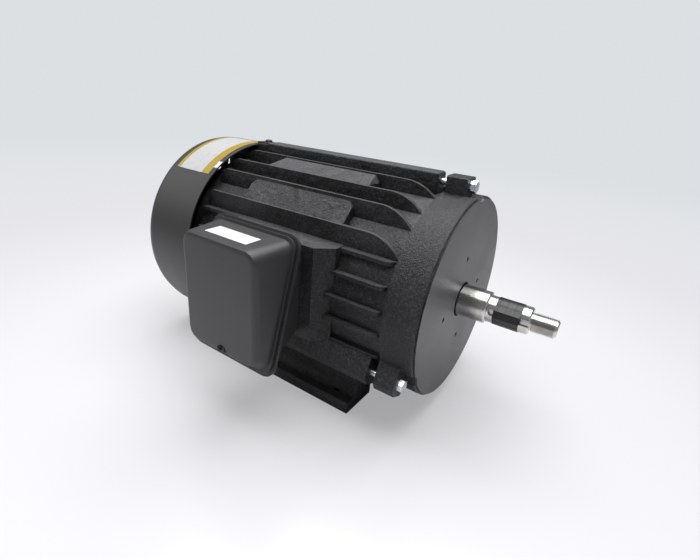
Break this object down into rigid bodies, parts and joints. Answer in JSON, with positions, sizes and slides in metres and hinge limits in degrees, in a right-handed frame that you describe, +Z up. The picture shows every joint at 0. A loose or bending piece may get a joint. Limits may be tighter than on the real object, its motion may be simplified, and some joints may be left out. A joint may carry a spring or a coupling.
{
  "type": "three-phase electric motor",
  "caption": "Foot-mounted, fan-cooled induction motor: finned black iron frame, flat drive-end face, keyed and threaded shaft, side terminal box.",
  "frame": {"origin": "centre of the flat drive-end face, on the shaft axis", "axes": "+X along the shaft towards the drive end, +Z up, -Y towards the terminal box"},
  "size_m": [0.422, 0.275, 0.2282],
  "materials": {
    "black_cast_iron": "black enamel on rough sand casting, semi-gloss",
    "bracket_black": "black enamel on casting, turned smooth on the face",
    "core_steel": "varnished laminations",
    "winding_copper": "varnished copper wire, bound",
    "cast_aluminium": "as cast",
    "ground_steel": "ground, oiled",
    "black_tape": "wound vinyl tape",
    "fan_cover_grey": "satin powder coat",
    "box_grey": "satin powder coat",
    "gasket_rubber": "matt",
    "lead_sleeve": "woven glass sleeve",
    "block_plastic": "moulded",
    "fan_plastic": "moulded",
    "terminal_brass": "bright",
    "spring_steel": "oiled",
    "zinc_steel": "bright zinc plate",
    "black_screw": "black oxide",
    "bearing_steel": "ground"
  },
  "bodies": {
    "stator": {"frame": "black_cast_iron", "drive_end_bracket": "bracket_black", "fan_end_bracket": "bracket_black", "stator_core": "core_steel", "stator_winding": "winding_copper", "drive_bearing_outer_race": "bearing_steel", "fan_bearing_outer_race": "bearing_steel", "bearing_snap_ring": "spring_steel", "wave_spring": "spring_steel", "shaft_seal": "gasket_rubber", "drive_end_bolts": "zinc_steel", "drive_end_washers": "zinc_steel", "fan_end_screws": "zinc_steel", "fan_cover": "fan_cover_grey", "fan_cover_screws": "black_screw", "conduit_box_base": "box_grey", "conduit_box_gasket": "gasket_rubber", "conduit_box_cover": "box_grey", "cover_gasket": "gasket_rubber", "cover_screw": "black_screw", "box_mounting_screws": "zinc_steel", "ground_screw": "terminal_brass", "terminal_block": "block_plastic", "terminal_studs": "terminal_brass", "lead_bundle": "lead_sleeve", "lead_grommet": "gasket_rubber"},
    "rotor": {"shaft": "ground_steel", "shaft_key": "ground_steel", "key_tape": "black_tape", "rotor_core": "core_steel", "rotor_cage": "cast_aluminium", "drive_bearing_inner_race": "bearing_steel", "fan_bearing_inner_race": "bearing_steel", "cooling_fan": "fan_plastic", "fan_clip": "spring_steel"},
    "drive_ball_set": {"drive_bearing_balls": "bearing_steel"},
    "fan_ball_set": {"fan_bearing_balls": "bearing_steel"}
  },
  "joints": [
    {"name": "rotor_spin", "type": "hinge", "parent": "stator", "child": "rotor", "pos_m": [0, 0, 0], "axis": [1, 0, 0], "continuous": true},
    {"name": "drive_ball_orbit", "type": "hinge", "parent": "stator", "child": "drive_ball_set", "pos_m": [-0.0175, 0, 0], "axis": [1, 0, 0], "continuous": true},
    {"name": "fan_ball_orbit", "type": "hinge", "parent": "stator", "child": "fan_ball_set", "pos_m": [-0.274, 0, 0], "axis": [1, 0, 0], "continuous": true}
  ],
  "couplings": [
    {"joint": "drive_ball_orbit", "follows": "rotor_spin", "ratio": 0.4031},
    {"joint": "fan_ball_orbit", "follows": "rotor_spin", "ratio": 0.3987}
  ]
}
